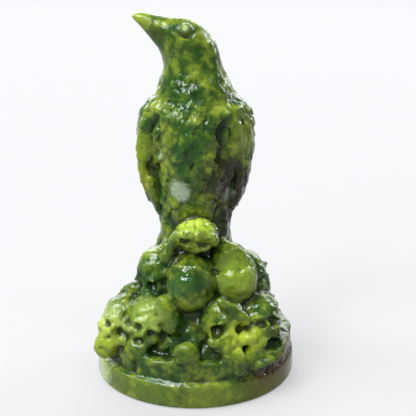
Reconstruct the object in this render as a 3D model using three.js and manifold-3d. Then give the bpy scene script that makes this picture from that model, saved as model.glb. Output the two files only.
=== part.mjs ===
// A raven carved from one block of serpentine, perched on a heap of skulls over an oval base.
// Millimetres, +Z up, the breast towards -Y, the origin at the middle of the flat underside.
import * as THREE from "three";
import { mergeVertices } from "three/addons/utils/BufferGeometryUtils.js";
import Module from "manifold-3d";

const wasm = await Module();
wasm.setup();

// Base: an oval rim, and a rough upper tier that stands in from it.
const baseWidth = 54;
const baseDepth = 50;
const rimHeight = 6.8;
const rimRound = 0.9;
const ledge = 1.5; // the step from the rim in to the tier, at the front and the back
const tierHeight = 5.4;
const tierRound = 0.5;

// Heap: a mound of stone with skulls standing out of it.
const heapHeight = 41.5; // from the underside to the top of the mound
const skullShare = 0.2662; // half the length of a braincase, as a share of the heap's rise
const lumpShares = [0.289, 0.312, skullShare]; // a lump's unit, in half widths, half depths, rise

// Raven: its forms are shares of its own height.
const ravenHeight = 57.5; // from the perch to the crown
const perchSink = 1.5; // how far the perch lies below the top of the mound

const perchHeight = heapHeight - perchSink;
const tierTop = rimHeight + tierHeight;
const heapRise = heapHeight - tierTop;
const skullSize = skullShare * heapRise;
const lumpUnit = [lumpShares[0] * (baseWidth / 2), lumpShares[1] * (baseDepth / 2), lumpShares[2] * heapRise];

const stone = new THREE.MeshStandardMaterial({
  color: 0x4f7a1c,
  roughness: 0.18,
  metalness: 0,
});

const radians = THREE.MathUtils.degToRad;

// A closed geometry as a solid that can be joined and cut.
function solid(geometry) {
  geometry.deleteAttribute("normal");
  geometry.deleteAttribute("uv");
  const merged = mergeVertices(geometry, 1e-4);
  const mesh = new wasm.Mesh({
    numProp: 3,
    vertProperties: merged.attributes.position.array,
    triVerts: new Uint32Array(merged.index.array),
  });
  return new wasm.Manifold(mesh);
}

// A solid back as a geometry.
function geometryOf(made) {
  const mesh = made.getMesh();
  return new THREE.BufferGeometry()
    .setAttribute("position", new THREE.BufferAttribute(mesh.vertProperties, 3))
    .setIndex(new THREE.BufferAttribute(mesh.triVerts, 1));
}

const join = (solids) => solids.reduce((all, next) => all.add(next));
const cut = (from, solids) => solids.reduce((left, next) => left.subtract(next), from);
const moved = (made, matrix) => solid(geometryOf(made).applyMatrix4(matrix));

// A place: a roll about Y, then a nod about X, then a turn about Z, in degrees, then a move.
function place(at, { turn = 0, nod = 0, roll = 0 } = {}) {
  const turned = new THREE.Euler(radians(nod), radians(roll), radians(turn), "ZXY");
  return new THREE.Matrix4()
    .makeRotationFromEuler(turned)
    .setPosition(new THREE.Vector3(...at));
}

// An egg: a ball with three half sizes, turned and set in place.
function egg(half, at, turned, around = 6, down = 4) {
  const ball = new THREE.SphereGeometry(1, around, down).rotateX(Math.PI / 2);
  return solid(ball.scale(...half).applyMatrix4(place(at, turned)));
}

// A pair of eggs, one each side of the plane x = 0.
const eggPair = (half, [x, y, z], turn, around, down) =>
  [-1, 1].map((side) => egg(half, [side * x, y, z], { turn: side * turn }, around, down));

// A skin drawn over sections. A row is [height, middle x, middle y, half width, front, back].
function skin(rows, around, down) {
  const heights = rows.map((row) => row[0]);
  const sizes = rows.flatMap((row) => row.slice(1));
  const drawn = new THREE.CubicInterpolant(heights, sizes, rows[0].length - 1);
  const closing = 0.2; // the share of the ball's radius over which each end rounds over
  const ball = new THREE.SphereGeometry(1, around, down).rotateX(Math.PI / 2);
  const points = ball.attributes.position;
  for (let i = 0; i < points.count; i++) {
    const [x, y, z] = [points.getX(i), points.getY(i), points.getZ(i)];
    const share = 1 - Math.acos(THREE.MathUtils.clamp(z, -1, 1)) / Math.PI;
    const height = THREE.MathUtils.lerp(heights[0], heights[heights.length - 1], share);
    const [middleX, middleY, wide, front, back] = drawn.evaluate(height);
    const across = Math.hypot(x, y);
    const grown = across < 1e-6 ? 0 : Math.sqrt(Math.min(1, across / closing)) / across;
    const deep = y < 0 ? front : back;
    points.setXYZ(i, middleX + x * grown * wide, middleY + y * grown * deep, height);
  }
  return solid(ball);
}

// Shares of the raven's height made real, and a point given in shares above its perch.
const real = (shares) => shares.map((share) => share * ravenHeight);
const onRaven = ([x, y, z]) => [x * ravenHeight, y * ravenHeight, z * ravenHeight + perchHeight];

const ravenEgg = (half, at, turned, around, down) =>
  egg(real(half), onRaven(at), turned, around, down);

const ravenSkin = (rows, around, down) =>
  moved(skin(rows.map(real), around, down), place([0, 0, perchHeight]));

// The torso and neck, from inside the heap to inside the head.
function torso() {
  return ravenSkin(
    [
      [-0.14, 0.003, 0, 0.13, 0.12, 0.13],
      [0.043, 0.003, 0, 0.163, 0.145, 0.165],
      [0.139, 0.004, 0, 0.174, 0.172, 0.178],
      [0.243, 0.005, 0, 0.184, 0.204, 0.19],
      [0.365, 0.006, 0, 0.192, 0.224, 0.198],
      [0.47, 0.006, 0, 0.197, 0.226, 0.195],
      [0.557, 0.006, 0, 0.2, 0.208, 0.184],
      [0.626, 0.006, 0, 0.185, 0.178, 0.163],
      [0.696, 0.003, 0, 0.155, 0.15, 0.136],
      [0.765, -0.004, 0, 0.132, 0.125, 0.118],
      [0.835, -0.018, 0, 0.127, 0.108, 0.108],
      [0.9, -0.03, 0, 0.113, 0.1, 0.1],
      [0.965, -0.04, 0, 0.06, 0.06, 0.06],
    ],
    16,
    16,
  );
}

// Thighs that swell above the perch, and toes that grip it.
function legs() {
  const sides = [-1, 1];
  const thighs = sides.map((side) =>
    ravenEgg([0.075, 0.085, 0.1], [side * 0.085, -0.045, 0.04], { nod: -12 }),
  );
  const toes = sides.flatMap((side) =>
    [-16, 16].map((spread) => {
      const at = [side * 0.12 + 0.05 * Math.sin(radians(spread)), -0.135, -0.022];
      return ravenEgg([0.022, 0.07, 0.022], at, { turn: spread + side * 12, nod: 24 }, 5, 4);
    }),
  );
  return join([...thighs, ...toes]);
}

// The beak, from inside the head to its tip. Here front is its lower side and back its upper one.
function beak() {
  const upright = skin(
    [
      [-0.06, 0, 0, 0.09, 0.09, 0.09],
      [0.02, 0, 0.03, 0.092, 0.098, 0.09],
      [0.092, 0, 0.057, 0.073, 0.087, 0.073],
      [0.127, 0, 0.071, 0.059, 0.075, 0.064],
      [0.162, 0, 0.094, 0.045, 0.054, 0.049],
      [0.188, 0, 0.11, 0.033, 0.038, 0.037],
      [0.214, 0, 0.125, 0.021, 0.023, 0.021],
      [0.24, 0, 0.132, 0.009, 0.009, 0.009],
    ].map(real),
    10,
    10,
  );
  const across = new THREE.Vector3(0, -1, 0);
  const up = new THREE.Vector3(0, 0, 1);
  const forward = new THREE.Vector3(-1, 0, 0);
  return moved(upright, new THREE.Matrix4().makeBasis(across, up, forward));
}

// The head looks over the right shoulder, towards -X, a little to the front of square.
function head() {
  const ball = egg(real([0.112, 0.104, 0.14]), [0, 0, 0], { roll: -50 }, 12, 9);
  const inBothSides = (half, [x, y, z]) =>
    [-1, 1].map((side) => egg(real(half), real([x, side * y, z]), {}, 7, 5));
  const dents = inBothSides([0.038, 0.016, 0.038], [-0.01, 0.09, 0.06]);
  const eyes = inBothSides([0.024, 0.028, 0.024], [-0.01, 0.074, 0.06]);
  const whole = join([cut(join([ball, beak()]), dents), ...eyes]);
  return moved(whole, place(onRaven([-0.033, -0.003, 0.861]), { turn: 4 }));
}

// Folded wings: an outer skin over the torso, kept only inside the wings' outline from the side.
function wings() {
  const outer = ravenSkin(
    [
      [0.04, 0.003, 0, 0.158, 0.12, 0.2],
      [0.13, 0.004, 0, 0.184, 0.15, 0.215],
      [0.157, 0.004, 0, 0.202, 0.16, 0.22],
      [0.209, 0.004, 0, 0.221, 0.17, 0.225],
      [0.306, 0.004, 0, 0.245, 0.2, 0.232],
      [0.383, 0.005, 0, 0.257, 0.2, 0.226],
      [0.47, 0.006, 0, 0.261, 0.2, 0.214],
      [0.546, 0.007, 0, 0.252, 0.18, 0.192],
      [0.595, 0.007, 0, 0.232, 0.16, 0.174],
      [0.623, 0.006, 0, 0.2, 0.15, 0.162],
      [0.67, 0.004, 0, 0.155, 0.13, 0.13],
    ],
    16,
    11,
  );
  const frontEdge = [[-0.075, 0.25], [-0.125, 0.4], [-0.14, 0.52], [-0.11, 0.6], [0, 0.68]];
  const outline = new THREE.Shape().moveTo(...real([-0.02, 0.125]));
  outline.splineThru(frontEdge.map((point) => new THREE.Vector2(...real(point))));
  outline.lineTo(...real([0.3, 0.68]));
  outline.lineTo(...real([0.3, 0.02]));
  const slab = new THREE.ExtrudeGeometry(outline, {
    depth: ravenHeight,
    bevelEnabled: false,
    curveSegments: 3,
  });
  const fromTheSide = new THREE.Matrix4().makeBasis(
    new THREE.Vector3(0, 1, 0),
    new THREE.Vector3(0, 0, 1),
    new THREE.Vector3(1, 0, 0),
  );
  slab.translate(0, 0, -ravenHeight / 2).applyMatrix4(fromTheSide).translate(0, 0, perchHeight);
  const parting = ravenEgg([0.012, 0.06, 0.28], [0.004, 0.24, 0.2]);
  return cut(outer.intersect(solid(slab)), [parting]);
}

// Long feathers along the folded wings, and three over a swelling rump in the tail.
function feathers() {
  const made = [ravenEgg([0.12, 0.12, 0.18], [0.004, 0.115, 0.06], { nod: 16 }, 8, 6)];
  for (let row = 0; row < 4; row++) {
    const turn = 29 * row - 20; // from the flank round to the back
    for (const round of [turn, 180 - turn]) {
      const [x, y] = [0.213 * Math.cos(radians(round)), 0.19 * Math.sin(radians(round))];
      made.push(ravenEgg([0.026, 0.05, 0.14], [x, y, 0.25 - 0.012 * row], { turn: round, roll: 15 }));
    }
  }
  for (const across of [-1, 0, 1]) {
    const at = [0.05 * across, 0.22 - 0.012 * across ** 2, 0.01];
    made.push(ravenEgg([0.046, 0.036, 0.23], at, { nod: 12 }, 6, 6));
  }
  return join(made);
}

// A skull of size 1, its face towards -Y and its crown up. A plain one has only its sockets.
function skull(plain, around, down) {
  const bone = [
    egg([0.8, 0.95, 0.84], [0, 0.05, 0], {}, around, down),
    egg([0.52, 0.48, 0.7], [0, -0.5, -0.5]),
    ...(plain ? [] : [egg([0.42, 0.36, 0.44], [0, -0.68, -0.98])]),
    ...(plain ? [] : eggPair([0.22, 0.34, 0.2], [0.44, -0.58, -0.4], -20, 5, 4)),
  ];
  const hollows = [
    ...eggPair([0.24, 0.38, 0.23], [0.31, -0.92, -0.16], 0, 5, 4),
    ...(plain ? [] : [egg([0.13, 0.26, 0.2], [0, -1, -0.52], {}, 4, 3)]),
  ];
  return geometryOf(cut(join(bone), hollows));
}

// A point on the heap: shares of the base's half width and half depth, and of the height from
// the top of the tier to the top of the mound.
const onHeap = ([x, y, up]) => [
  (x * baseWidth) / 2,
  (y * baseDepth) / 2,
  tierTop + up * heapRise,
];

// Where a skull stands, from how far round from the front it is, how far out and how high.
const standing = ({ round, out, up }) =>
  onHeap([out * Math.sin(radians(round)), -out * Math.cos(radians(round)), up]);

// The skull that a loose bone lies across.
const boneCarrier = { round: 27, out: 0.575, up: 0.27, size: 1.04, nod: -14, roll: 2, aside: -7 };

// The skulls stand round the heap: how far round from the front, how far out, how high, how
// large, and how each is turned from looking straight out.
function skulls() {
  const carved = [
    { round: -65, out: 0.745, up: 0.2, nod: -8, roll: 26, aside: 45 },
    { round: -44, out: 0.61, up: 0.26, nod: -2, roll: 20, aside: 36 },
    boneCarrier,
    { round: 59, out: 0.69, up: 0.245, nod: -12, roll: 12, aside: -32 },
    { round: -61, out: 0.405, up: 0.64, size: 0.9, nod: 14, roll: -8, aside: 26 },
    { round: 9, out: 0.27, up: 1.03, size: 0.84, nod: 8, roll: 20, aside: -9 },
  ];
  const crowns = [
    { round: -4, out: 0.44, up: 0.61, size: 1.06, nod: -60, aside: 180 },
    { round: 46, out: 0.5, up: 0.64, size: 1.02, nod: -60, aside: 180 },
    { round: 80, out: 0.45, up: 0.56, nod: -14 },
  ];
  const behind = [];
  for (let row = 0; row < 6; row++) {
    behind.push({ round: 94 + 32.5 * row, out: 0.56, up: 0.16, nod: -14 });
  }
  for (let row = 0; row < 3; row++) {
    behind.push({ round: 128 + 50 * row, out: 0.31, up: 0.59, size: 0.88, nod: -14 });
  }
  const setOut = (made) => ({ size = 1, nod, roll, aside = 0, ...spot }) => {
    const grow = size * skullSize;
    const grown = made.clone().scale(grow, grow, grow);
    return solid(grown.applyMatrix4(place(standing(spot), { turn: spot.round + aside, nod, roll })));
  };
  return [
    ...carved.map(setOut(skull(false, 9, 6))),
    ...crowns.map(setOut(skull(true, 10, 7))),
    ...behind.map(setOut(skull(true, 8, 5))),
  ];
}

// The mound that carries the skulls, and the lumps of stone that show between them.
function heap() {
  const profile = [[-0.2, 0.79], [0.06, 0.76], [0.31, 0.62], [0.56, 0.48], [0.81, 0.38], [1.3, 0.28]];
  const mound = skin(
    profile.map(([up, out]) => {
      const [wide, deep, height] = onHeap([out, out, up]);
      return [height, 0, 0, wide, deep, deep];
    }),
    12,
    8,
  );
  const lumps = [
    { at: [-0.156, -0.7, 0.32], half: [0.35, 0.45, 0.62], nod: 14 },
    { at: [-0.104, -0.86, 0.12], half: [0.41, 0.36, 0.47] },
    { at: [0.35, -0.84, 0.05], half: [0.46, 0.4, 0.44] },
    { at: [0.74, -0.56, 0.03], half: [0.56, 0.46, 0.42] },
  ];
  const shaped = lumps.map(({ at, half, ...turned }) =>
    egg(half.map((share, axis) => share * lumpUnit[axis]), onHeap(at), turned, 7, 5),
  );
  const carrier = standing(boneCarrier);
  const across = [0.377, -0.713, 0.639].map((share, axis) => carrier[axis] + share * skullSize);
  const bone = egg([0.72, 0.2, 0.2].map((share) => share * skullSize), across, { roll: 36 }, 7, 5);
  return join([mound, bone, ...shaped]);
}

// An oval disc with rounded edges. Its outline stands in by `inset`, and by `rough` besides.
function disc(inset, low, high, round, rough) {
  const radius = baseWidth / 2 - inset;
  const corner = (middle, from) =>
    [0, 45, 90].map((step) => {
      const angle = radians(from + step);
      return new THREE.Vector2(radius + round * (Math.cos(angle) - 1), middle + round * Math.sin(angle));
    });
  const profile = [
    new THREE.Vector2(0, low),
    ...corner(low + round, -90),
    ...corner(high - round, 0),
    new THREE.Vector2(0, high),
  ];
  const turned = new THREE.LatheGeometry(profile, 30).rotateX(Math.PI / 2);
  const points = turned.attributes.position;
  for (let i = 0; i < points.count; i++) {
    const share = 1 - rough(Math.atan2(points.getX(i), -points.getY(i))) / radius;
    points.setXY(i, points.getX(i) * share, points.getY(i) * share);
  }
  return solid(turned.scale(1, (baseDepth / 2 - inset) / radius, 1));
}

// The tier runs out almost to the rim at +X, and stands further in from it at -X.
function base() {
  const rim = disc(0, 0, rimHeight, rimRound, () => 0);
  const rough = (angle) => ledge * (0.2 * Math.sin(5 * angle + 1) - 0.6 * Math.sin(angle));
  const tier = disc(ledge, rimHeight / 2, tierTop, tierRound, rough);
  return join([rim, tier]);
}

const raven = [torso(), legs(), wings(), feathers(), head()];
const statue = join([base(), heap(), ...skulls(), ...raven]);

const group = new THREE.Group();
const mesh = new THREE.Mesh(geometryOf(statue), stone);
mesh.name = "raven_statue";
group.add(mesh);
export default group;
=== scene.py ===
"""A raven carved from one block of green serpentine, on a heap of skulls over an oval base.

The carving is roughed out from eggs and skins in millimetres, hollowed, smoothed, cut with
feathers and small relief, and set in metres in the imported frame.
"""

import math

import bmesh
import bpy
import numpy as np
from mathutils import Matrix, Vector, noise


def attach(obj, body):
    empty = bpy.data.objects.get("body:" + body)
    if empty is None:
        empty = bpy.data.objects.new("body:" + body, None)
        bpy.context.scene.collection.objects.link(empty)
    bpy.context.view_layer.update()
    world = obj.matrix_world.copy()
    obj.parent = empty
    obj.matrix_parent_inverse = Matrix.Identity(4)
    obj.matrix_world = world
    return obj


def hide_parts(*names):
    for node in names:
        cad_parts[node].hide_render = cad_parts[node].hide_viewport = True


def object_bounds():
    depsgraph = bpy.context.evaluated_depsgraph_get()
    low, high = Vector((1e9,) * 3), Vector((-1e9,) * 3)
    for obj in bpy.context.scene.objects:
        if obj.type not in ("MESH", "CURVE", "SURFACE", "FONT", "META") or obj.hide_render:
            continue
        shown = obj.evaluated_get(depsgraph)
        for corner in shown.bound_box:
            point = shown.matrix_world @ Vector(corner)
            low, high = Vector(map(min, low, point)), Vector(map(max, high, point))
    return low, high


bl_info = {
    "name": "Serpentine raven",
    "version": (1, 0, 0),
    "blender": (4, 5, 0),
    "location": "3D View > Sidebar > Raven",
    "description": "A raven carved in serpentine on a heap of skulls",
    "category": "Add Mesh",
}

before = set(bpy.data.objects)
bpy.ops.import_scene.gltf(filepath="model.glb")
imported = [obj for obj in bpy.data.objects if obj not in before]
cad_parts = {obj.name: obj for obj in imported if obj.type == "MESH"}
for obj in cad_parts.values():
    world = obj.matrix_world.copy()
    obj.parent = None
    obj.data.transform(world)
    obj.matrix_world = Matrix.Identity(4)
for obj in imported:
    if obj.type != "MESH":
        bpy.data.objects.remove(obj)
CAD_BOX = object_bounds()

MM = 0.001
SIDES = (-1, 1)
# The main sizes, in millimetres: the base, the heap on it, and the raven on its perch.
BASE_WIDTH, BASE_DEPTH, RIM_HEIGHT, LEDGE, TIER_TOP = 53.6, 49.9, 6.8, 1.5, 12.2
RIM_ROUNDING, TIER_ROUNDING = 0.9, 0.6
HEAP_HALF_WIDTH, HEAP_HALF_DEPTH, HEAP_HEIGHT, SKULL = 27, 25, 41.5, 7.8
RAVEN, PERCH = 57.3, 40.0


def place(at, turn=0, nod=0, roll=0):
    """A roll about Y, then a nod about X, then a turn about Z, in degrees, then a move."""
    turned = (
        Matrix.Rotation(math.radians(turn), 4, "Z")
        @ Matrix.Rotation(math.radians(nod), 4, "X")
        @ Matrix.Rotation(math.radians(roll), 4, "Y")
    )
    return Matrix.Translation(at) @ turned


def egg(bm, half, at, turn=0, nod=0, roll=0, within=Matrix(), around=24, down=16):
    """A ball with three half sizes, turned and set in place."""
    form = within @ place(at, turn, nod, roll) @ Matrix.Diagonal((*half, 1))
    bmesh.ops.create_uvsphere(bm, u_segments=around, v_segments=down, radius=1, matrix=form)


def egg_pair(bm, half, at, turn=0, nod=0, roll=0, within=Matrix()):
    """An egg on each side of the plane x = 0."""
    for side in SIDES:
        spot = (side * at[0], at[1], at[2])
        egg(bm, half, spot, side * turn, nod, side * roll, within)


def drawn(rows, heights):
    """The sizes at some heights, on a smooth curve through rows that start with a height."""
    rows = np.array(rows, float)
    at, sizes = rows[:, 0], rows[:, 1:]
    slopes = np.gradient(sizes, at, axis=0)
    low = np.clip(np.searchsorted(at, heights) - 1, 0, len(at) - 2)
    gap = (at[low + 1] - at[low])[:, None]
    t = (heights - at[low])[:, None] / gap
    rise = t * t * (3 - 2 * t)
    return (
        (1 - rise) * sizes[low]
        + rise * sizes[low + 1]
        + (t**3 - 2 * t**2 + t) * gap * slopes[low]
        + (t**3 - t**2) * gap * slopes[low + 1]
    )


def skin(bm, rows, within=Matrix(), around=72, down=72):
    """A skin over sections: height, middle x, middle y, half width, depth in front and behind."""
    closing = 0.2  # the ends close round over this share of the ball's radius
    verts = bmesh.ops.create_uvsphere(bm, u_segments=around, v_segments=down, radius=1)["verts"]
    ball = np.array([v.co for v in verts])
    share = 1 - np.arccos(np.clip(ball[:, 2], -1, 1)) / math.pi
    heights = rows[0][0] + share * (rows[-1][0] - rows[0][0])
    middle_x, middle_y, wide, front, back = drawn(rows, heights).T
    across = np.maximum(np.hypot(ball[:, 0], ball[:, 1]), 1e-9)
    grown = np.sqrt(np.minimum(1, across / closing)) / across
    deep = np.where(ball[:, 1] < 0, front, back)
    for vert, x, y, z in zip(
        verts, middle_x + ball[:, 0] * grown * wide, middle_y + ball[:, 1] * grown * deep, heights
    ):
        vert.co = within @ Vector((x, y, z))


# The raven: its forms are shares of its height, above its perch, and its rows are a skin's
# sections. The head's forms are the same shares, about the middle of the head.
ON_PERCH = Matrix.Translation((0, 0, PERCH)) @ Matrix.Scale(RAVEN, 4)
HEAD = ON_PERCH @ place((-0.033, -0.003, 0.861), turn=4)
TORSO_ROWS = [
    [-0.14, 0.003, 0, 0.13, 0.12, 0.13],
    [0.043, 0.003, 0, 0.163, 0.145, 0.165],
    [0.139, 0.004, 0, 0.174, 0.172, 0.178],
    [0.243, 0.005, 0, 0.184, 0.204, 0.19],
    [0.365, 0.006, 0, 0.192, 0.224, 0.198],
    [0.47, 0.006, 0, 0.197, 0.226, 0.195],
    [0.557, 0.006, 0, 0.2, 0.208, 0.184],
    [0.626, 0.006, 0, 0.185, 0.178, 0.163],
    [0.696, 0.003, 0, 0.155, 0.15, 0.136],
    [0.765, -0.004, 0, 0.132, 0.125, 0.118],
    [0.835, -0.018, 0, 0.127, 0.108, 0.108],
    [0.9, -0.03, 0, 0.113, 0.1, 0.1],
    [0.965, -0.04, 0, 0.06, 0.06, 0.06],
]
BEAK_ROWS = [
    [-0.06, 0, 0, 0.09, 0.09, 0.09],
    [0.02, 0, 0.03, 0.092, 0.098, 0.09],
    [0.092, 0, 0.057, 0.073, 0.087, 0.073],
    [0.127, 0, 0.071, 0.059, 0.075, 0.064],
    [0.162, 0, 0.094, 0.045, 0.054, 0.049],
    [0.188, 0, 0.11, 0.033, 0.038, 0.037],
    [0.214, 0, 0.125, 0.021, 0.023, 0.021],
    [0.24, 0, 0.132, 0.009, 0.009, 0.009],
]
WING_ROWS = [
    [0.04, 0.003, 0, 0.158, 0.12, 0.2],
    [0.13, 0.004, 0, 0.184, 0.15, 0.215],
    [0.157, 0.004, 0, 0.202, 0.16, 0.22],
    [0.209, 0.004, 0, 0.221, 0.17, 0.225],
    [0.306, 0.004, 0, 0.245, 0.2, 0.232],
    [0.383, 0.005, 0, 0.257, 0.2, 0.226],
    [0.47, 0.006, 0, 0.261, 0.2, 0.214],
    [0.546, 0.007, 0, 0.252, 0.18, 0.192],
    [0.595, 0.007, 0, 0.232, 0.16, 0.174],
    [0.623, 0.006, 0, 0.2, 0.15, 0.162],
    [0.67, 0.004, 0, 0.155, 0.13, 0.13],
]
# The wings' outline from the side, from the tail up over the shoulder: y and height.
WING_EDGE = [
    (0.3, 0.02),
    (-0.02, 0.125),
    (-0.05, 0.18),
    (-0.075, 0.25),
    (-0.103, 0.325),
    (-0.125, 0.4),
    (-0.138, 0.46),
    (-0.14, 0.52),
    (-0.131, 0.565),
    (-0.11, 0.6),
    (-0.06, 0.646),
    (0, 0.68),
]


def torso(bm):
    """The torso and neck, from inside the heap to inside the head."""
    skin(bm, TORSO_ROWS, ON_PERCH)


def legs(bm):
    """Thighs that swell above the perch, and toes that grip it."""
    egg_pair(bm, (0.075, 0.085, 0.1), (0.085, -0.045, 0.04), nod=-12, within=ON_PERCH)
    toe, foot_x, toe_y, toe_z, length = (0.021, 0.07, 0.021), 0.12, -0.135, -0.022, 0.05
    for side in SIDES:
        for spread in (-16, 16):
            x = side * foot_x + length * math.sin(math.radians(spread))
            turn = spread + side * 12
            egg(bm, toe, (x, toe_y, toe_z), turn, 24, 0, ON_PERCH)


def head(bm):
    """The head looks over the right shoulder, towards -X."""
    egg(bm, (0.112, 0.104, 0.14), (0, 0, 0), roll=-50, within=HEAD, around=48, down=32)
    to_the_beak = Matrix(((0, 0, -1, 0), (-1, 0, 0, 0), (0, 1, 0, 0), (0, 0, 0, 1)))
    skin(bm, BEAK_ROWS, HEAD @ to_the_beak, 48, 48)


def eye_dents(bm):
    """A dent on each side of the head, and a notch at the corner of the mouth."""
    for side in SIDES:
        egg(bm, (0.043, 0.018, 0.043), (-0.003, side * 0.086, 0.083), within=HEAD)
        egg(bm, (0.02, 0.012, 0.008), (-0.104, side * 0.07, 0.016), 0, 0, 40, HEAD)


def eyes(bm):
    """A round eye bulges from each dent."""
    for side in SIDES:
        egg(bm, (0.028, 0.024, 0.028), (-0.003, side * 0.067, 0.083), within=HEAD)


def wings(bm):
    """An outer skin over the torso, kept only inside the wings' outline from the side."""
    skin(bm, WING_ROWS, ON_PERCH)
    corners = [ON_PERCH @ Vector((0, y, z)) for y, z in WING_EDGE]
    for low, high in zip(corners, corners[1:]):
        along = high - low
        out = Vector((0, -along.z, along.y))
        everything = bm.verts[:] + bm.edges[:] + bm.faces[:]
        cut = bmesh.ops.bisect_plane(
            bm, geom=everything, plane_co=low, plane_no=out, clear_outer=True
        )["geom_cut"]
        rim_edges = [item for item in cut if isinstance(item, bmesh.types.BMEdge)]
        bmesh.ops.holes_fill(bm, edges=rim_edges)


def feathers(bm):
    """Long feathers along the folded wings, and three over a swelling rump in the tail."""
    egg(bm, (0.12, 0.12, 0.18), (0.004, 0.115, 0.06), nod=16, within=ON_PERCH)
    wing_feather, tail_feather = (0.026, 0.05, 0.14), (0.046, 0.036, 0.23)
    wing_reach, back_reach = 0.213, 0.19
    for row in range(4):
        turn = 29 * row - 20
        for angle in (turn, 180 - turn):
            x = wing_reach * math.cos(math.radians(angle))
            y = back_reach * math.sin(math.radians(angle))
            egg(bm, wing_feather, (x, y, 0.25 - 0.012 * row), angle, 0, 15, ON_PERCH)
    for across in (-1, 0, 1):
        at = (0.05 * across, 0.22 - 0.012 * across**2, 0.01)
        egg(bm, tail_feather, at, nod=12, within=ON_PERCH)


# The heap: a skull of size 1 has its face towards -Y and its crown up.
def skull_bone(bm, plain):
    """The bones that stand out."""
    egg(bm, (0.8, 0.95, 0.84), (0, 0.05, 0), around=64, down=48)
    egg(bm, (0.5, 0.46, 0.68), (0, -0.5, -0.5))
    egg_pair(bm, (0.25, 0.14, 0.09), (0.3, -0.86, 0.06), -10, 0, 12)
    egg_pair(bm, (0.2, 0.3, 0.15), (0.45, -0.64, -0.42), -20)
    if plain:
        return
    egg(bm, (0.09, 0.18, 0.24), (0, -0.92, -0.2), nod=10)
    egg(bm, (0.4, 0.36, 0.34), (0, -0.7, -0.84))
    egg(bm, (0.38, 0.32, 0.26), (0, -0.68, -1.14))
    egg_pair(bm, (0.08, 0.36, 0.24), (0.4, -0.34, -0.96), -8, 20)
    egg_pair(bm, (0.07, 0.36, 0.08), (0.66, -0.36, -0.38), -16)


def skull_hollows(bm, plain):
    """The hollows cut back into them."""
    egg_pair(bm, (0.23, 0.3, 0.2), (0.31, -0.99, -0.17), 8)
    egg(bm, (0.1, 0.24, 0.17), (0, -1.02, -0.52))
    if plain:
        return
    egg_pair(bm, (0.07, 0.26, 0.2), (0.84, -0.5, -0.06))
    egg_pair(bm, (0.08, 0.2, 0.14), (0.42, -0.86, -0.76), -20)
    egg(bm, (0.3, 0.26, 0.04), (0, -1, -1.0))


# Skulls: degrees round the heap, shares out and up, size, nod, roll, and how far turned aside.
SKULLS = [
    (-65, 0.745, 0.2, 1.0, -8, 26, 45),
    (-44, 0.61, 0.26, 1.0, -2, 20, 36),
    (59, 0.69, 0.245, 1.0, -12, 12, -32),
    (-61, 0.405, 0.64, 0.9, 14, -8, 26),
]
# Skulls that show no face, only the crown.
CROWNS = [
    (-4, 0.44, 0.61, 1.06, -60, 0, 180),
    (46, 0.5, 0.64, 1.02, -60, 0, 180),
    (80, 0.45, 0.56, 1.0, -14, 0, 0),
    (178, 0.31, 0.59, 0.88, -14, 0, 0),
]
# Plainer skulls: a ring of six at the back, two above them, and one half buried in front.
PLAIN = [(94 + 32.5 * row, 0.56, 0.16, 1.0, -14, 0, 0) for row in range(6)] + [
    (128, 0.31, 0.59, 0.88, -14, 0, 0),
    (228, 0.31, 0.59, 0.88, -14, 0, 0),
    (27, 0.575, 0.27, 1.04, -14, 2, -7),
]


def on_heap(x, y, up):
    """Shares of the heap's half width and half depth, and of the rise from tier to mound top."""
    z = TIER_TOP + up * (HEAP_HEIGHT - TIER_TOP)
    return Vector((x * HEAP_HALF_WIDTH, y * HEAP_HALF_DEPTH, z))


def skull_place(bearing, out, up, size, nod, roll, aside):
    """Where a skull stands and how it is turned, grown to its size."""
    angle = math.radians(bearing)
    at = on_heap(out * math.sin(angle), -out * math.cos(angle), up)
    return place(at, bearing + aside, nod, roll) @ Matrix.Scale(size * SKULL, 4)


def heap(bm):
    """The mound, and the lumps of stone and bone that show between the skulls."""
    profile = [(-0.2, 0.79), (0.06, 0.76), (0.31, 0.62), (0.56, 0.48), (0.81, 0.38), (1.3, 0.28)]
    rows = []
    for up, out in profile:
        wide, deep, height = on_heap(out, out, up)
        rows.append([height, 0, 0, wide, deep, deep])
    skin(bm, rows, around=48, down=40)
    ball, bone, rock = (
        ((-0.078, -0.865, 0.06), (0.45, 0.36, 0.48), 0),
        ((0.37, -0.735, 0.44), (0.72, 0.2, 0.2), 36),
        ((0.74, -0.56, 0.03), (0.56, 0.46, 0.42), 0),
    )
    for at, half, roll in (ball, bone, rock):
        egg(bm, [share * SKULL for share in half], on_heap(*at), roll=roll)


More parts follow.
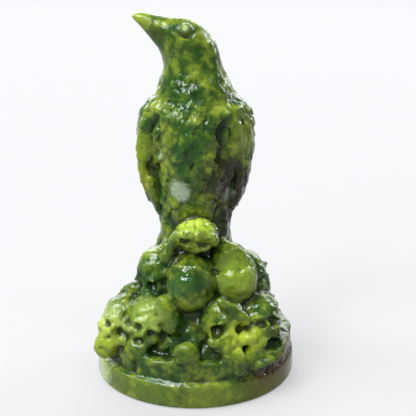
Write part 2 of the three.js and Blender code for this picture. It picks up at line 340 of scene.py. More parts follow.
# Eggs of stone and bone between the skulls, in millimetres: middle, half sizes, turn, nod, roll.
LUMPS = [
    ((9.2, -9.4, 36.4), (4.6, 4.0, 3.6), 0, 0, 0),
    ((0.6, -9.8, 42.2), (5.5, 5.7, 4.6), 0, 0, 0),
    ((-3.6, -13.0, 43.4), (1.9, 1.9, 1.6), 0, 0, 0),
    ((-1.6, -14.1, 44.5), (2.2, 1.8, 1.5), 0, 0, -24),
    ((0.7, -14.6, 44.8), (2.2, 1.8, 1.5), 0, 0, 4),
    ((3.0, -14.3, 43.9), (2.3, 1.8, 1.6), 0, 0, 28),
    ((4.8, -13.2, 42.3), (1.9, 1.8, 1.6), 0, 0, 40),
    ((-4.9, -12.8, 42.0), (1.5, 1.7, 1.9), 0, 0, 26),
    ((-6.0, -13.0, 39.8), (1.6, 1.8, 1.9), 0, 0, 32),
    ((-7.4, -13.2, 37.6), (1.7, 1.8, 2.0), 0, 0, 34),
    ((-6.1, -14.9, 21.2), (3.1, 3.8, 7.4), 0, 6, -22),
    ((-2.2, -15.2, 15.6), (4.6, 3.0, 4.0), 0, 0, 0),
    ((-16.0, -6.2, 25.8), (2.2, 2.2, 2.0), 0, 0, 0),
    ((-12.3, -9.4, 27.3), (2.1, 2.2, 2.0), 0, 0, 0),
    ((-24.2, -12.4, 12.4), (2.6, 2.6, 2.4), 0, 0, 0),
    ((8.9, -20.7, 12.1), (2.1, 2.4, 3.2), 0, 0, 8),
    ((11.3, -20.4, 12.0), (2.1, 2.4, 3.2), 0, 0, 0),
    ((9.2, -20.9, 9.6), (2.2, 2.2, 1.6), 0, 0, 0),
    ((11.5, -20.6, 9.2), (2.1, 2.2, 1.6), 0, 0, 0),
    ((5.5, -20.2, 16.7), (2.8, 2.2, 1.6), 0, 0, 18),
    ((7.2, -20.4, 15.6), (3.2, 2.2, 1.5), 0, 0, 24),
    ((12.6, -19.0, 16.8), (1.5, 1.6, 1.5), 0, 0, 0),
    ((11.8, -17.4, 22.6), (1.3, 1.2, 3.8), 0, 0, -48),
    ((18.4, -16.0, 10.4), (5.4, 3.4, 1.6), 35, 0, -8),
    ((15.0, -17.2, 16.0), (1.7, 1.8, 2.0), 0, 0, 0),
    ((14.6, -17.4, 13.0), (1.7, 1.8, 2.4), 0, 0, 8),
    ((20.6, -13.4, 17.6), (1.6, 1.6, 1.7), 0, 0, 0),
]
# Eggs of hollow between the skulls.
HOLES = [
    ((20.8, -16.6, 14.4), (2.4, 2.2, 1.7), 30, 0, 0),
    ((-7.2, -19.6, 13.4), (1.5, 2.6, 1.9), 0, 0, 0),
    ((-14.6, -18.6, 15.8), (2.4, 2.0, 1.0), -30, 0, 10),
    ((-22.4, -12.6, 8.2), (1.3, 1.5, 1.3), 0, 0, 0),
    ((24.2, -10.8, 7.6), (1.0, 1.2, 1.0), 0, 0, 0),
    ((-15.8, -18.2, 8.8), (1.1, 1.2, 1.9), 0, 0, 0),
    ((-2.0, -15.4, 42.0), (2.3, 2.8, 1.5), 0, 0, -10),
    ((2.4, -15.0, 40.8), (2.8, 3.0, 1.6), 0, 0, 20),
    ((0.6, -14.6, 39.0), (2.6, 2.2, 1.6), 0, 0, 20),
    ((11.5, -18.6, 19.4), (1.0, 2.0, 1.3), 0, 0, 0),
    ((5.6, -19.9, 19.6), (1.7, 2.4, 1.5), 0, 0, 8),
    ((20.2, -14.6, 20.2), (1.4, 2.0, 1.5), 0, 0, 0),
    ((5.2, -16.0, 29.4), (0.8, 2.2, 2.4), 0, 0, 10),
    ((2.4, -19.6, 16.0), (1.1, 2.4, 3.0), 0, 0, 12),
]


def eggs(bm, table):
    """The eggs of one table."""
    for at, half, turn, nod, roll in table:
        egg(bm, half, at, turn, nod, roll)


def disc(bm, inset, low, high, rounding, rough):
    """An oval disc with rounded edges, its outline uneven by `rough`."""
    radius = BASE_WIDTH / 2 - inset
    profile = [(0, low)]
    for middle, start in ((low + rounding, -90), (high - rounding, 0)):
        for degrees in range(0, 91, 15):
            angle = math.radians(start + degrees)
            across = radius + rounding * (math.cos(angle) - 1)
            profile.append((across, middle + rounding * math.sin(angle)))
    profile.append((0, high))
    verts = [bm.verts.new((x, 0, z)) for x, z in profile]
    edges = [bm.edges.new(pair) for pair in zip(verts, verts[1:])]
    bmesh.ops.spin(
        bm,
        geom=verts + edges,
        axis=(0, 0, 1),
        cent=(0, 0, 0),
        angle=math.tau,
        steps=120,
        use_merge=True,
    )
    for vert in bm.verts:
        angle = math.atan2(vert.co.x, -vert.co.y)
        share = 1 - rough(angle, vert.co.z) / radius
        vert.co.x *= share
        vert.co.y *= share * (BASE_DEPTH / 2 - inset) / radius
    bmesh.ops.remove_doubles(bm, verts=bm.verts[:], dist=0.01)
    bmesh.ops.recalc_face_normals(bm, faces=bm.faces[:])


def rim(bm):
    """The smooth foot of the base."""
    disc(bm, 0, 0, RIM_HEIGHT, RIM_ROUNDING, lambda angle, height: 0.0)


def tier(bm):
    """The rough tier that stands in from the rim."""

    def edge(angle, height):
        # Wider on the right, with five slow waves and small nicks.
        wave = 0.2 * math.sin(5 * angle + 1) - 0.6 * math.sin(angle)
        nicks = noise.noise((math.cos(angle) * 4, math.sin(angle) * 4, height * 0.3))
        return LEDGE * wave + 0.5 * nicks

    disc(bm, LEDGE, RIM_HEIGHT / 2, TIER_TOP, TIER_ROUNDING, edge)


def mesh_from(name, bm):
    """A bmesh kept as a mesh."""
    mesh = bpy.data.meshes.new(name)
    bm.to_mesh(mesh)
    bm.free()
    return mesh


def linked(name, bm):
    """A bmesh as an object in the scene."""
    thing = bpy.data.objects.new(name, mesh_from(name, bm))
    bpy.context.scene.collection.objects.link(thing)
    return thing


def baked(thing):
    """The mesh of a thing once its modifiers are applied, in place of its own."""
    shaped = bpy.data.meshes.new_from_object(
        thing.evaluated_get(bpy.context.evaluated_depsgraph_get())
    )
    thing.modifiers.clear()
    old, thing.data = thing.data, shaped
    bpy.data.meshes.remove(old)


def remesh(thing, voxel):
    """Overlapping closed shapes made one skin."""
    modifier = thing.modifiers.new("one skin", "REMESH")
    modifier.mode = "VOXEL"
    modifier.voxel_size = voxel


def soften(thing, times):
    """Edges worn round."""
    modifier = thing.modifiers.new("worn", "SMOOTH")
    modifier.factor = 0.5
    modifier.iterations = times


def subtract(thing, cutter):
    """One thing cut out of another."""
    modifier = thing.modifiers.new("cut", "BOOLEAN")
    modifier.operation = "DIFFERENCE"
    modifier.solver = "MANIFOLD"
    modifier.object = cutter


def shape(make, *values):
    """What one function makes, as a mesh of its own."""
    bm = bmesh.new()
    make(bm, *values)
    return mesh_from("shape", bm)


def gathered(name, meshes):
    """Meshes brought together in one object."""
    bm = bmesh.new()
    for mesh in meshes:
        bm.from_mesh(mesh)
        bpy.data.meshes.remove(mesh)
    return linked(name, bm)


def skull_set(make):
    """A part of the skulls at all their places."""
    meshes = []
    crowns = CROWNS if make is skull_bone else []
    for plain, spots in ((False, SKULLS), (True, PLAIN + crowns)):
        one = shape(make, plain)
        for spot in spots:
            meshes.append(one.copy())
            meshes[-1].transform(skull_place(*spot))
        bpy.data.meshes.remove(one)
    return meshes


def rough_out(voxel):
    """The whole carving as one worn skin, in millimetres."""
    hollow_wear, stone_wear = 3, 4  # rounds of smoothing
    stone = [shape(heap), shape(eggs, LUMPS), shape(rim), shape(tier)]
    bird = [shape(make) for make in (torso, legs, head, feathers, wings)]
    carving = gathered("raven_carving", skull_set(skull_bone) + stone + bird)
    remesh(carving, voxel)
    baked(carving)

    dents = [shape(eye_dents), shape(eggs, HOLES)]
    hollows = gathered("hollows", skull_set(skull_hollows) + dents)
    remesh(hollows, voxel)
    soften(hollows, hollow_wear)
    baked(hollows)
    subtract(carving, hollows)
    baked(carving)
    bpy.data.objects.remove(hollows)

    bm = bmesh.new()
    bm.from_mesh(carving.data)
    balls = shape(eyes)
    bm.from_mesh(balls)
    bpy.data.meshes.remove(balls)
    bm.to_mesh(carving.data)
    bm.free()
    remesh(carving, voxel)
    soften(carving, stone_wear)
    baked(carving)
    return carving


def read(mesh):
    """A mesh's points and its points' normals."""
    points = np.empty(len(mesh.vertices) * 3, np.float32)
    mesh.vertices.foreach_get("co", points)
    normals = np.empty(len(mesh.vertices) * 3, np.float32)
    mesh.vertex_normals.foreach_get("vector", normals)
    return points.reshape(-1, 3).astype(float), normals.reshape(-1, 3).astype(float)


def write(mesh, points):
    """A mesh's points set anew."""
    mesh.vertices.foreach_set("co", points.astype(np.float32).ravel())
    mesh.update()


def averaged(mesh, points, times, strength=0.5):
    """The points drawn in place towards the middle of their neighbours, some times over."""
    ends = np.empty(len(mesh.edges) * 2, np.int32)
    mesh.edges.foreach_get("vertices", ends)
    first, second = ends.reshape(-1, 2).T
    total = len(points)
    count = np.bincount(first, minlength=total) + np.bincount(second, minlength=total)
    strength = np.broadcast_to(strength, total)
    for _ in range(times):
        for axis in range(3):
            row = points[:, axis]
            around = np.bincount(first, row[second], total) + np.bincount(second, row[first], total)
            points[:, axis] = row + strength * (around / np.maximum(count, 1) - row)
    return points


def step(low, high, x):
    """A smooth rise from 0 to 1 between two values."""
    t = np.clip((x - low) / (high - low), 0, 1)
    return t * t * (3 - 2 * t)


def near(points, line, width):
    """How near each point is to a line of corners: 1 on it, falling to 0 about `width` away."""
    best = np.full(len(points), 1e9)
    for start, end in zip(line, line[1:]):
        start, along = np.array(start), np.array(end) - np.array(start)
        t = np.clip((points - start) @ along / (along @ along), 0, 1)
        best = np.minimum(best, np.linalg.norm(points - start - t[:, None] * along, axis=1))
    return np.exp(-((best / width) ** 2))


def scatter(column, row, seed):
    """A number from 0 to 1 for each column and row, the same each run."""
    value = np.sin(column * 127.1 + row * 311.7 + seed * 74.7) * 43758.5453
    return value - np.floor(value)


def scallops(across, down, wide, tall, seed):
    """Overlapping rounded feathers: each rises to its tip and drops to the next."""
    height = np.zeros_like(across)
    # A feather reaches over as many as two rows below its own, and each is a little uneven.
    for above in (0, 1, 2):
        row = np.floor(down / tall) - above
        shift = 0.5 * (row % 2) + 0.3 * (scatter(row, 0, seed) - 0.5)
        column = np.floor(across / wide - shift)
        p = across / wide - shift - column - 0.5
        p = p + 0.16 * (scatter(column, row, seed + 1) - 0.5)
        grown = 1.7 + 0.7 * (scatter(column, row, seed + 2) - 0.5)
        q = (down / tall - row) / grown
        tip = 1 - 1.9 * p * p - 1.5 * np.abs(p) ** 4
        inside = (q < tip) & (q >= 0)
        raised = 0.35 + 0.65 * q / np.maximum(tip, 0.2) - 1.2 * p * p
        shaft = 0.12 * np.exp(-((p / 0.07) ** 2))
        height = np.where(inside, raised + shaft, height)
    return height


def grain(points, size, seed):
    """Soft noise over the points, from -1 to 1."""
    offset = Vector((seed * 17.3, seed * 5.1, seed * 9.7))
    return np.array([noise.noise(Vector(point) / size + offset) for point in points])


def proud(points, up):
    """How far each point stands out from the torso's own skin, in millimetres."""
    middle_x, middle_y, wide, front, back = drawn(TORSO_ROWS, up).T * RAVEN
    x, y = points[:, 0] - middle_x, points[:, 1] - middle_y
    deep = np.where(y < 0, front, back)
    share = np.hypot(x / wide, y / deep)
    return np.hypot(x, y) * (1 - 1 / np.maximum(share, 1e-6))


# Lines cut in or left standing, in millimetres: corners, width, height (less than 0 is cut).
LINES = [
    ([(-10.2, -7.6, 73), (-11.8, -6.4, 69), (-11.4, -7.2, 64), (-11.0, -6.4, 58)], 1.3, -1.9),
    ([(-13.3, -4.3, 71), (-13.9, -4.0, 66), (-13.4, -4.2, 60), (-12.2, -4.6, 53)], 1.0, 0.5),
    ([(7.6, -10.3, 71), (7.1, -10.7, 68.6), (7.6, -10.4, 66), (7.0, -11, 62)], 1.7, -2.0),
    ([(7.0, -9.2, 73.8), (10.2, -7.0, 74.1), (13, -2.8, 75.2)], 1.3, 1.0),
    ([(9.8, -8.2, 71.0), (10.6, -7.8, 66.0), (10.2, -8.0, 60.0)], 1.2, 0.7),
    ([(-7.8, -8.8, 73.6), (-6.6, -9.6, 72.8)], 2.2, 0.7),
    ([(0.8, -10.4, 79.5), (0.4, -10.8, 78.5)], 1.6, 0.5),
    ([(15.9, -19.0, 9.8), (18.8, -17.8, 6.8)], 0.5, -0.7),
    ([(18.0, -17.8, 9.2), (20.6, -16.2, 6.4)], 0.5, -0.6),
    ([(13.2, -20.4, 9.6), (16.2, -19.2, 6.8)], 0.4, -0.5),
    ([(-6.8, -11.6, 32.7), (-4.7, -13.7, 35), (-2.1, -15.5, 36.3), (0.5, -15.6, 35.4)], 1.3, 0.7),
    ([(0.5, -15.6, 35.4), (3.0, -15.6, 33.7), (5.0, -14.2, 30.8)], 1.3, 0.8),
    ([(11.8, -9.4, 39.3), (13.8, -9.6, 37.0), (14.2, -11.6, 34.6), (11.7, -14, 34.0)], 0.8, -0.7),
    ([(11.7, -14.0, 34.0), (8.1, -14.2, 34.4), (5.8, -13.0, 33.4)], 0.8, -0.5),
]
# The flat polished places on the breast: middle and reach.
FACETS = [((-4.2, -11.0, 54.8), 3.4), ((8.8, -6.8, 52.2), 2.6)]
# The ridge of the cheek, in shares of the raven's height about the middle of the head.
CHEEK = [(-0.09, -0.07, 0.09), (-0.065, -0.08, 0.066), (-0.04, -0.088, 0.048), (0.0, -0.09, 0.028)]
# The skull at the raven's feet, which counts as heap: its middle, and where that ends.
HOOD, HOOD_EDGE = (0.6, -12.4, 42.8), (5.6, 6.8)

# Feathers, in millimetres: how ragged across and down, width, length, seed.
BREAST_FEATHERS, BREAST_LIFT = (1.4, 1.5, 4.8, 4.1, 3), 1.3
NECK_FEATHERS, NECK_LIFT = (0.7, 0.7, 2.7, 2.4, 6), 0.45
COVERTS, COVERT_LIFT = (0.5, 0.6, 3.2, 3.0, 8), 0.85
QUILLS, QUILL_LIFT = (0.25, 0.8, 2.7, 7.5, 9), 1.1
GIRTH = 12.0  # the raven's radius that feathers are spaced on

# Where a zone of the relief fades, in shares of the raven's height above its perch.
HEAP_ENDS, RAVEN_STARTS, HEAD_STARTS = (0.04, 0.1), (0.02, 0.08), (0.76, 0.84)
WING_STARTS, COVERTS_START, WING_ENDS = (0.0, 0.06), (0.4, 0.48), (0.66, 0.7)
NECK_STARTS, BREAST_ENDS = (0.56, 0.68), (0.72, 0.8)
# And in millimetres: a wing's stand over the torso, the heap and the rough stone over the rim.
WING_STAND, HEAP_STARTS, ROUGH_STARTS = (0.7, 1.5), (6.2, 7.4), (5.8, 7.6)


def relief(mesh):
    """Feathers over the raven and small unevenness over the rest."""
    points, normals = read(mesh)
    x, y, z = points.T
    up = (z - PERCH) / RAVEN
    bearing = np.arctan2(x - 0.3, -y)
    out = proud(points, np.clip(up, -0.1, 0.9))

    # The heap rises in front of the raven, and is worn rounder than the raven is.
    heaped = 1 - step(*HEAP_ENDS, up + 0.02 * (y + 10) * (y < -10))
    hooded = 1 - step(*HOOD_EDGE, np.linalg.norm(points - HOOD, axis=1))
    heaped = np.maximum(heaped, hooded)
    rounded = heaped * step(*HEAP_STARTS, z)
    points = averaged(mesh, points, 12, 0.5 * rounded)
    x, y, z = points.T

    raven = step(*RAVEN_STARTS, up) * (np.hypot(x, y) < 20) * (1 - heaped)
    wing = step(*WING_STAND, out) * step(*WING_STARTS, up) * (1 - step(*WING_ENDS, up))
    breast = raven * (1 - wing) * (1 - step(*BREAST_ENDS, up))
    neck = step(*NECK_STARTS, up)
    folded = step(*COVERTS_START, up)

    ragged, uneven = grain(points, 3.2, 1), grain(points, 4.4, 2)
    girth, down = GIRTH * bearing, (1 - up) * RAVEN

    def plumage(across, along, wide, tall, seed):
        """Feathers of one kind over all points, from about -0.5 to 0.5."""
        return scallops(girth + across * ragged, down + along * uneven, wide, tall, seed) - 0.5

    lift = breast * (
        (1 - neck) * BREAST_LIFT * plumage(*BREAST_FEATHERS)
        + neck * NECK_LIFT * plumage(*NECK_FEATHERS)
    )
    lift += wing * (
        folded * COVERT_LIFT * plumage(*COVERTS) + (1 - folded) * QUILL_LIFT * plumage(*QUILLS)
    )

    # Soft swells and dents under the head, but not on the rim or the polished places.
    carved = np.ones(len(points))
    for middle, reach in FACETS:
        away = np.linalg.norm(points - middle, axis=1) / reach
        carved *= step(0.75, 1.15, away + 0.25 * ragged)
    rough = (1 - step(*HEAD_STARTS, up)) * step(*ROUGH_STARTS, z)
    swells = 0.4 * grain(points, 3.0, 6) * (rounded + breast)
    lift += rough * (swells + 0.26 * grain(points, 1.8, 4))
    lift *= carved

    for line, width, height in LINES:
        lift += height * near(points, line, width)
    cheek = [HEAD @ Vector(corner) for corner in CHEEK]
    lift += 0.2 * near(points, cheek, 0.5)
    points = averaged(mesh, points + normals * lift[:, None], 2)
    fine = 0.1 * grain(points, 0.95, 5) * rough * (0.3 + 0.7 * carved)
    write(mesh, points + normals * fine[:, None])


def finish_size(mesh):
    """Inside the CAD box, flat underneath, and in metres."""
    spare, flat_below = 0.01, 0.12
    points, _ = read(mesh)
    low, high = (np.array(corner) / MM for corner in CAD_BOX)
    points = np.clip(points, low + spare, high - spare)
    points[points[:, 2] < flat_below, 2] = 0
    write(mesh, points * MM)


def note_depth(mesh):
    """How deep each point lies in a hollow, in millimetres, kept for the finish to paint shade in
    the hollows and light on the ridges.
    """
    points, normals = read(mesh)
    level = averaged(mesh, points.copy(), times=60, strength=0.9)
    depth = ((level - points) * normals).sum(axis=1)
    kept = mesh.attributes.new("depth", "FLOAT", "POINT")
    kept.data.foreach_set("value", depth.astype(np.float32))


# Which output of its node is read, where it isn't the first.
OBJECT_OUT, DISTANCE_OUT, VALUE_OUT, COLOUR_OUT = 3, 1, 2, 2


class Link:
    """A shader socket that can be used in sums."""

    def __init__(self, tree, socket):
        self.tree = tree
        self.socket = socket

    def _math(self, operation, *values):
        return self.tree.node("ShaderNodeMath", {"operation": operation}, *values)[0]

    def __add__(self, other):
        return self._math("ADD", self, other)

    __radd__ = __add__

    def __sub__(self, other):
        return self._math("SUBTRACT", self, other)

    def __rsub__(self, other):
        return self._math("SUBTRACT", other, self)

    def __mul__(self, other):
        return self._math("MULTIPLY", self, other)

    __rmul__ = __mul__


class Finish:
    """A material's nodes."""

    def __init__(self, name):
        self.material = bpy.data.materials.new(name)
        self.material.use_nodes = True
        self.nodes = self.material.node_tree.nodes
        self.nodes.clear()

    def node(self, kind, settings, *values, **named):
        """A node of one type: its settings first, then its sockets by order or by name."""
        made = self.nodes.new(kind)
        for key, value in settings.items():
            if key == "stops":
                ramp = made.color_ramp.elements
                while len(ramp) < len(value):
                    ramp.new(1.0)
                for stop, (at, colour) in zip(ramp, value):
                    stop.position = at
                    stop.color = colour
            else:
                setattr(made, key, value)
        sockets = [(made.inputs[i], value) for i, value in enumerate(values)]
        sockets += [(made.inputs[key.replace("_", " ")], value) for key, value in named.items()]
        for socket, value in sockets:
            if isinstance(value, Link):
                self.material.node_tree.links.new(value.socket, socket)
            elif value is not None:
                socket.default_value = value
        return [Link(self, out) for out in made.outputs]

    def mix(self, factor, first, second):
        """Two colours mixed."""
        unused = [None] * 5  # the sockets between, for numbers and vectors
        made = self.node("ShaderNodeMix", {"data_type": "RGBA"}, factor, *unused, first, second)
        return made[COLOUR_OUT]


def linear(red, green, blue):
    """A colour given with each part 0 to 255, as the shader wants it."""

    def one(value):
        share = value / 255
        return share / 12.92 if share <= 0.04045 else ((share + 0.055) / 1.055) ** 2.4

    return (one(red), one(green), one(blue), 1.0)


# Patches of colour: middle in millimetres, reach, colour, how strongly. Most are the stone's own
# colour; those marked below paint shade, highlights and reflections, some only in part.
STAINS_AND_PAINTED_LIGHT = [
    ((-15.0, -5.0, 97.0), 5.0, (138, 155, 34), 0.85),
    ((-9.6, -5.0, 94.0), 3.0, (50, 60, 12), 0.65),
    # Partly the stone's brown, partly painted shade on the shaded right of the breast and the right
    # leg.
    ((8.0, -9.5, 57.0), 8.5, (34, 32, 5), 0.85),
    ((11.0, -3.0, 50.0), 9.0, (22, 18, 3), 0.92),
    ((5.5, -8.0, 44.5), 5.0, (22, 28, 10), 0.8),
    ((-14.4, -2.5, 64.0), 5.0, (110, 126, 20), 0.7),
    ((-13.5, -2.5, 56.0), 5.0, (140, 145, 24), 0.7),
    ((12.5, -5.0, 68.0), 5.5, (110, 122, 30), 0.5),
    # Partly the stone's brown, partly painted shade on the shaded right of the heap.
    ((23.0, -10.0, 14.0), 9.0, (24, 24, 5), 0.82),
    ((14.5, -11.0, 29.0), 4.5, (62, 64, 20), 0.7),
    ((-13.0, -20.0, 4.0), 5.0, (40, 66, 26), 0.6),
    ((4.0, -25.0, 3.0), 6.0, (84, 96, 32), 0.6),
    ((-20.0, -17.0, 3.0), 4.5, (34, 60, 24), 0.7),
    # A painted reflection on the left of the rim.
    ((-25.0, -9.0, 4.0), 5.5, (178, 192, 142), 0.75),
    # Partly the stone's brown, partly painted shade on the shaded right of the rim.
    ((17.0, -19.0, 3.0), 6.5, (48, 36, 8), 0.9),
    ((26.0, -4.0, 4.0), 8.0, (32, 22, 5), 0.95),
    # Partly the stone's own light green, partly painted light and a painted highlight on the lit
    # left skulls.
    ((-12.0, -17.0, 22.0), 6.0, (132, 152, 64), 0.5),
    ((-21.0, -11.0, 19.0), 5.0, (150, 168, 100), 0.5),
    # The eye: painted shade in the ring round it, the ball's own green, and a painted highlight on
    # the ball.
    ((-1.7, -5.4, 94.1), 2.7, (22, 44, 14), 0.6),
    ((-1.8, -5.0, 94.2), 1.7, (84, 106, 40), 0.9),
    ((-2.0, -5.2, 94.4), 0.65, (160, 176, 132), 0.7),
    # Partly the stone's brown, partly painted shade on the shaded right of the rim.
    ((22.0, -14.0, 3.0), 9.0, (58, 34, 2), 0.88),
    # Partly the stone's own light green, partly painted light on the lit left skulls.
    ((-22.0, -12.0, 14.0), 8.0, (150, 165, 50), 0.55),
    ((-12.0, -22.0, 3.0), 5.0, (48, 76, 28), 0.6),
    ((12.0, -17.0, 17.0), 6.5, (168, 184, 48), 0.65),
    ((11.0, -14.0, 32.0), 7.0, (126, 148, 44), 0.55),
    ((0.5, -11.0, 44.0), 6.0, (166, 186, 66), 0.75),
    ((-4.0, -17.0, 31.0), 5.0, (20, 60, 22), 0.6),
    ((0.0, -13.0, 66.0), 6.0, (30, 66, 16), 0.5),
    ((-1.0, -12.5, 60.0), 7.0, (24, 56, 14), 0.55),
    # Painted reflections on the flat polished places of the breast.
    ((-4.3, -11.5, 54.6), 3.3, (142, 157, 130), 0.85),
    ((8.9, -7.0, 52.2), 2.2, (120, 128, 108), 0.8),
    ((-8.6, -8.6, 62.8), 1.5, (140, 158, 128), 0.8),
]


def serpentine(sizes):
    """Polished serpentine: yellow-green clouded with mid and dark green, with painted shade in the
    hollows, painted light on the ridges, and some painted shade, highlights and reflections among
    the stains.
    """
    stone = Finish("polished serpentine")
    where = stone.node("ShaderNodeTexCoord", {})[OBJECT_OUT]
    grown = stone.node("ShaderNodeVectorMath", {"operation": "SCALE"}, where, Scale=1 / MM)[0]

    def cloud(size, detail, roughness=0.5, warp=0.0):
        """Noise of one size in millimetres."""
        return stone.node(
            "ShaderNodeTexNoise",
            {},
            Vector=grown,
            Scale=1 / size,
            Detail=detail,
            Roughness=roughness,
            Distortion=warp,
        )[0]

    def rise(value, low, high, top=1.0):
        """A smooth rise from 0 to `top` between two values."""
        settings = {"interpolation_type": "SMOOTHSTEP"}
        return stone.node("ShaderNodeMapRange", settings, value, low, high, 0.0, top)[0]

    # The clouds of green, large and small.
    patches = cloud(6.5, 3.0, 0.55, 0.5)
    flecks = cloud(2.4, 5.0, 0.6, 0.3)
    stops = [(0.36, sizes.dark_green), (0.47, sizes.mid_green), (0.61, sizes.light_green)]
    both = patches * 0.5 + flecks * 0.5
    colour = stone.node("ShaderNodeValToRGB", {"stops": stops}, both)[0]

    # The stains and the painted shade, highlights and reflections, each with a ragged edge.
    ragged = (flecks - 0.5) * 1.6 + (patches - 0.5) * 1.2
    for middle, reach, tone, strength in STAINS_AND_PAINTED_LIGHT:
        settings = {"operation": "DISTANCE"}
        away = stone.node("ShaderNodeVectorMath", settings, grown, Vector(middle))[DISTANCE_OUT]
        mask = rise(away * (1 / reach) + ragged, 1.15, 0.45, strength)
        colour = stone.mix(mask, colour, linear(*tone))

    # Painted light on the ridges, dark veins, and painted shade in the hollows.
    depth = stone.node("ShaderNodeAttribute", {"attribute_name": "depth"})[VALUE_OUT]
    veins = rise(cloud(1.7, 4.0, 0.6, 1.0), 0.54, 0.7, 0.45)
    painted_hollow_shade = rise(depth + (flecks - 0.5) * 0.2, 0.02, 0.5, 0.85)
    painted_ridge_light = rise(depth + (flecks - 0.5) * 0.5, -0.5, -1.2, 0.35)
    colour = stone.mix(painted_ridge_light, colour, sizes.light_green)
    colour = stone.mix(veins, colour, sizes.dark_green)
    colour = stone.mix(painted_hollow_shade, colour, sizes.hollow_shade_green)

    polish = cloud(1.6, 3.0)
    bump = stone.node(
        "ShaderNodeBump", {}, Strength=0.75, Distance=0.3 * MM, Height=cloud(1.2, 2.0, 0.5)
    )[0]
    shader = stone.node(
        "ShaderNodeBsdfPrincipled",
        {"subsurface_method": "RANDOM_WALK"},
        Base_Color=colour,
        Roughness=polish * 0.14 + 0.02,
        IOR=1.56,
        Normal=bump,
        Specular_IOR_Level=0.22,
        Subsurface_Weight=0.18,
        Subsurface_Radius=(0.7, 1.0, 0.25),
        Subsurface_Scale=1.4 * MM,
    )[0]
    stone.node("ShaderNodeOutputMaterial", {}, Surface=shader)
    return stone.material


def green(name, description, *tone):
    """A green that a user would change."""
    return bpy.props.FloatVectorProperty(
        name=name,
        description=description,
        default=linear(*tone),
        size=4,
        min=0.0,
        max=1.0,
        subtype="COLOR",
    )


class StoneSizes(bpy.types.PropertyGroup):
    """Sizes and colours that a user would change."""

    voxel: bpy.props.FloatProperty(
        name="Carving step",
        description="Size of the finest form carved, before the relief",
        default=0.32 * MM,
        min=0.2 * MM,
        max=MM,
        precision=5,
        unit="LENGTH",
    )
    faces: bpy.props.IntProperty(
        name="Triangles",
        description="How many triangles the finished carving keeps at most",
        default=190000,
        min=10000,
        max=199999,
    )
    light_green: green("Light green", "The yellow-green of the clearest stone", 103, 117, 30)
    mid_green: green("Mid green", "The green of most of the stone", 44, 70, 18)
    dark_green: green("Dark green", "The green of the darkest clouds and the veins", 17, 40, 14)
    # Painted shade: the dark green that the hollows are painted with.
    hollow_shade_green: green("Hollow green", "The deep green in the hollows", 13, 31, 10)


class RAVEN_OT_carve(bpy.types.Operator):
    """Carve the raven, the heap of skulls and the base from one block"""

    bl_idname = "raven.carve"
    bl_label = "Carve the raven"

    def execute(self, context):
        sizes = context.scene.raven_stone
        voxel = round(sizes.voxel / MM, 3)
        carving = rough_out(voxel)
        relief(carving.data)
        triangles = sum(len(face.vertices) - 2 for face in carving.data.polygons)
        if triangles > sizes.faces:
            fewer = carving.modifiers.new("fewer faces", "DECIMATE")
            fewer.ratio = sizes.faces / triangles
            fewer.use_collapse_triangulate = True
            baked(carving)
        note_depth(carving.data)
        finish_size(carving.data)
        carving.data.shade_smooth()
        carving.data.materials.clear()
        carving.data.materials.append(serpentine(sizes))
        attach(carving, "root")
        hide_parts("raven_statue")
        return {"FINISHED"}


# The camera: its place in metres, how many degrees it looks down, and its lens, which is
# LENS_PIXELS long where the picture is PICTURE_PIXELS wide.
CAMERA_AT, LOOKS_DOWN = (0.0035, -0.2649, 0.1408), 19.67
LENS_PIXELS, PICTURE_PIXELS, SENSOR = 1065.7, 416, 36
# The stage: the floor's reach in metres, its grey and its glow, and the light of the sky.
FLOOR_REACH, FLOOR_GREY, FLOOR_GLOW, SKY_LIGHT = 20, 0.13, 0.44, 0.42
PALE_BLUE, WINDOWS_FACE = (0.93, 0.96, 1.0), (0, 0, 0.06)
# Soft windows, in metres and watts: middle, width and height, power.
WINDOWS = [
    ((-0.5, -0.45, 0.7), (0.08, 0.14), 3.0),
    ((-0.4, -0.56, 0.7), (0.08, 0.14), 3.0),
    ((-0.08, -0.62, 0.62), (0.06, 0.08), 1.0),
    ((-0.24, -0.16, 0.72), (0.44, 0.26), 8.4),
    ((0.0, 0.75, 0.36), (1.3, 0.6), 9.0),
    ((0.55, 0.3, 0.35), (0.1, 0.35), 2.6),
    ((-0.6, 0.05, 0.6), (0.12, 0.3), 2.4),
    ((0.3, -0.3, 0.75), (0.05, 0.09), 1.0),
]


def pale_floor():
    """A wide floor that is lit evenly."""
    bm = bmesh.new()
    bmesh.ops.create_grid(bm, x_segments=8, y_segments=8, size=FLOOR_REACH)
    floor = linked("pale_floor", bm)
    paint = Finish("pale floor")
    shade = paint.node(
        "ShaderNodeBsdfPrincipled",
        {},
        Base_Color=(FLOOR_GREY, FLOOR_GREY, FLOOR_GREY, 1),
        Roughness=0.8,
        Emission_Color=(1, 1, 1, 1),
        Emission_Strength=FLOOR_GLOW,
    )[0]
    paint.node("ShaderNodeOutputMaterial", {}, Surface=shade)
    floor.data.materials.append(paint.material)
    return floor


def soft_sky():
    """Even light from all round."""
    world = bpy.data.worlds.new("soft studio")
    world.use_nodes = True
    sky = world.node_tree.nodes["Background"]
    sky.inputs["Color"].default_value = (*PALE_BLUE, 1)
    sky.inputs["Strength"].default_value = SKY_LIGHT
    return world


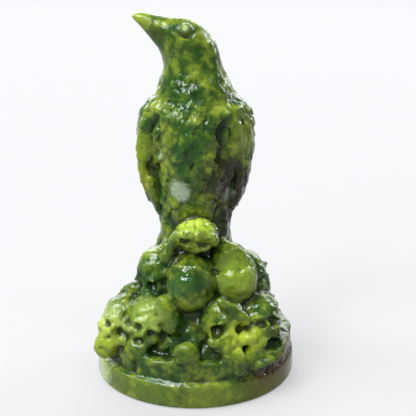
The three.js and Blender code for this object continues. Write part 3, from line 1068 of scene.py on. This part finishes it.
def window(at, size, power):
    """A soft window that faces the statue."""
    lamp = bpy.data.lights.new("window", "AREA")
    lamp.shape = "RECTANGLE"
    lamp.size, lamp.size_y = size
    lamp.energy = power
    lamp.color = PALE_BLUE
    thing = bpy.data.objects.new("window", lamp)
    facing = (Vector(WINDOWS_FACE) - Vector(at)).to_track_quat("-Z", "Y")
    thing.matrix_world = Matrix.Translation(at) @ facing.to_matrix().to_4x4()
    return thing


def photo_camera():
    """The camera at the photograph's viewing angle."""
    lens = bpy.data.cameras.new("camera")
    lens.sensor_width = SENSOR
    lens.lens = LENS_PIXELS * SENSOR / PICTURE_PIXELS
    lens.clip_start = 0.01
    camera = bpy.data.objects.new("camera", lens)
    camera.location = CAMERA_AT
    camera.rotation_euler = (math.radians(90 - LOOKS_DOWN), 0, 0)
    return camera


class RAVEN_OT_stage(bpy.types.Operator):
    """Set the pale floor, the soft light and the camera"""

    bl_idname = "raven.stage"
    bl_label = "Set the stage"

    def execute(self, context):
        scene = context.scene
        pale_floor()
        scene.world = soft_sky()
        for values in WINDOWS:
            scene.collection.objects.link(window(*values))
        camera = photo_camera()
        scene.collection.objects.link(camera)
        scene.camera = camera
        scene.view_settings.view_transform = "Standard"
        return {"FINISHED"}


class RAVEN_PT_panel(bpy.types.Panel):
    """Lists the steps and what can be changed"""

    bl_idname = "RAVEN_PT_panel"
    bl_label = "Serpentine raven"
    bl_space_type = "VIEW_3D"
    bl_region_type = "UI"
    bl_category = "Raven"

    def draw(self, context):
        sizes = context.scene.raven_stone
        for name in sizes.bl_rna.properties.keys():
            if name not in ("rna_type", "name"):
                self.layout.prop(sizes, name)
        for operator in STEPS:
            self.layout.operator(operator.bl_idname)


STEPS = (RAVEN_OT_carve, RAVEN_OT_stage)
CLASSES = (StoneSizes, *STEPS, RAVEN_PT_panel)


def register():
    for cls in CLASSES:
        bpy.utils.register_class(cls)
    bpy.types.Scene.raven_stone = bpy.props.PointerProperty(type=StoneSizes)


def unregister():
    del bpy.types.Scene.raven_stone
    for cls in reversed(CLASSES):
        bpy.utils.unregister_class(cls)


def main():
    register()
    bpy.ops.raven.carve()
    bpy.ops.raven.stage()


if __name__ == "__main__":
    main()
